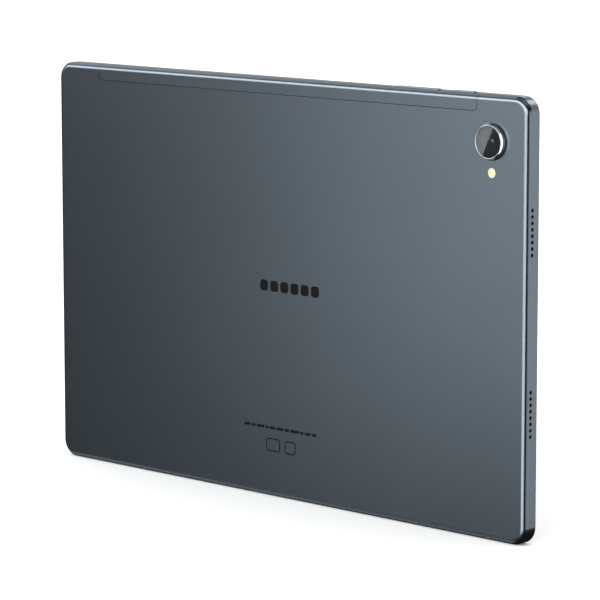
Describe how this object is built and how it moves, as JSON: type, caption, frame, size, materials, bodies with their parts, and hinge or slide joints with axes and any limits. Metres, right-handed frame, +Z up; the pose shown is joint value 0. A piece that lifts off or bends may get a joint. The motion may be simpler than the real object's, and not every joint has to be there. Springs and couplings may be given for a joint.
{
  "type": "tablet computer",
  "caption": "Tablet computer with a metal back, a screen at the front, a rear camera and flash, side keys, speakers, a card tray and a charging port.",
  "frame": {"origin": "middle of the bottom of the bounding box, with the tablet standing on its long lower edge", "axes": "+X to the right when seen from behind, along the long side; +Y from the back towards the screen; +Z up, along the short side"},
  "size_m": [0.2464, 0.0096, 0.1616],
  "materials": {
    "cover_metal": "blasted and anodised",
    "window_plastic": "painted to match the metal",
    "key_metal": "anodised, satin",
    "ring_chrome": "polished",
    "clear_glass": "polished",
    "black_plastic": "moulded",
    "grey_plastic": "moulded",
    "steel": "rolled sheet",
    "spring_bronze": "gold plated",
    "board_laminate": "solder mask",
    "flex_film": "polyimide film",
    "chip_resin": "moulded resin",
    "connector_resin": "moulded resin",
    "cell_foil": "laminated foil",
    "magnet": "nickel plated",
    "cone_film": "formed film",
    "mesh_cloth": "fine woven mesh",
    "plate_metal": "die cast",
    "light_stack": "diffusing films",
    "panel_glass": "laminated panel",
    "clear_adhesive": "clear gel film",
    "black_ink": "screen printed",
    "black_tape": "foam tape",
    "graphite": "rolled sheet",
    "flash_clear": "moulded lens",
    "flash_phosphor": "phosphor coat"
  },
  "bodies": {
    "body": {"rear_cover": "cover_metal", "antenna_cover": "window_plastic", "camera_ring": "ring_chrome", "camera_glass": "clear_glass", "camera_funnel": "black_plastic", "focus_housing": "black_plastic", "camera_sensor": "flex_film", "flash_window": "flash_clear", "flash_led": "flash_phosphor", "power_dome": "steel", "volume_domes": "steel", "key_flex": "flex_film", "key_bracket": "steel", "card_socket": "steel", "card_contacts": "spring_bronze", "lever_pin": "steel", "main_board": "board_laminate", "board_shields": "steel", "board_chips": "chip_resin", "board_connectors": "connector_resin", "antenna_springs": "spring_bronze", "antenna_flexes": "flex_film", "heat_sheet": "graphite", "usb_board": "board_laminate", "microphone": "steel", "usb_flex": "flex_film", "plate_screws": "steel", "usb_shell": "steel", "usb_tongue": "black_plastic", "usb_contacts": "spring_bronze", "battery_cells": "cell_foil", "battery_tape": "black_tape", "battery_board": "board_laminate", "battery_lead": "flex_film", "speaker_boxes": "black_plastic", "speaker_magnets": "magnet", "speaker_meshes": "mesh_cloth", "mid_plate": "plate_metal", "front_frame": "grey_plastic", "backlight": "light_stack", "screen_panel": "panel_glass", "clear_glue": "clear_adhesive", "border_ink": "black_ink", "cover_glass": "clear_glass", "glass_tape": "black_tape", "panel_flex": "flex_film", "selfie_camera": "black_plastic", "selfie_lens": "clear_glass"},
    "power_key": {"power_key": "key_metal"},
    "volume_rocker": {"volume_rocker": "key_metal"},
    "card_tray": {"card_tray": "grey_plastic", "tray_face": "key_metal"},
    "eject_rod": {"eject_rod": "steel"},
    "eject_lever": {"eject_lever": "steel"},
    "focus_barrel": {"focus_barrel": "black_plastic", "front_element": "clear_glass"},
    "speaker_cone_right_upper": {"speaker_cone_right_upper": "cone_film"},
    "speaker_cone_right_lower": {"speaker_cone_right_lower": "cone_film"},
    "speaker_cone_left_upper": {"speaker_cone_left_upper": "cone_film"},
    "speaker_cone_left_lower": {"speaker_cone_left_lower": "cone_film"}
  },
  "joints": [
    {"name": "power_key_press", "type": "slide", "parent": "body", "child": "power_key", "axis": [0, 0, -1], "range_m": [0, 0.00025], "stiffness_N_per_m": 4000, "deforming": ["power_dome"]},
    {"name": "volume_rocker_tilt", "type": "hinge", "parent": "body", "child": "volume_rocker", "pos_m": [0.0687, 0.0005, 0.15905], "axis": [0, 1, 0], "range_deg": [-1.2, 1.2], "stiffness_Nm_per_rad": 0.4, "deforming": ["volume_domes"]},
    {"name": "card_tray_slide", "type": "slide", "parent": "body", "child": "card_tray", "axis": [-1, 0, 0], "range_m": [0, 0.03]},
    {"name": "eject_rod_slide", "type": "slide", "parent": "body", "child": "eject_rod", "axis": [1, 0, 0], "range_m": [0, 0.001]},
    {"name": "eject_lever_turn", "type": "hinge", "parent": "body", "child": "eject_lever", "pos_m": [-0.0915, -0.0004, 0.1446], "axis": [0, 1, 0], "range_deg": [0, 12]},
    {"name": "focus_slide", "type": "slide", "parent": "body", "child": "focus_barrel", "axis": [0, -1, 0], "range_m": [0, 0.0003], "stiffness_N_per_m": 60},
    {"name": "speaker_cone_right_upper_stroke", "type": "slide", "parent": "body", "child": "speaker_cone_right_upper", "axis": [0, -1, 0], "range_m": [-0.00025, 0.00025], "stiffness_N_per_m": 900},
    {"name": "speaker_cone_right_lower_stroke", "type": "slide", "parent": "body", "child": "speaker_cone_right_lower", "axis": [0, -1, 0], "range_m": [-0.00025, 0.00025], "stiffness_N_per_m": 900},
    {"name": "speaker_cone_left_upper_stroke", "type": "slide", "parent": "body", "child": "speaker_cone_left_upper", "axis": [0, -1, 0], "range_m": [-0.00025, 0.00025], "stiffness_N_per_m": 900},
    {"name": "speaker_cone_left_lower_stroke", "type": "slide", "parent": "body", "child": "speaker_cone_left_lower", "axis": [0, -1, 0], "range_m": [-0.00025, 0.00025], "stiffness_N_per_m": 900}
  ],
  "couplings": [
    {"joint": "eject_lever_turn", "follows": "eject_rod_slide", "rad_per_m": 205}
  ]
}
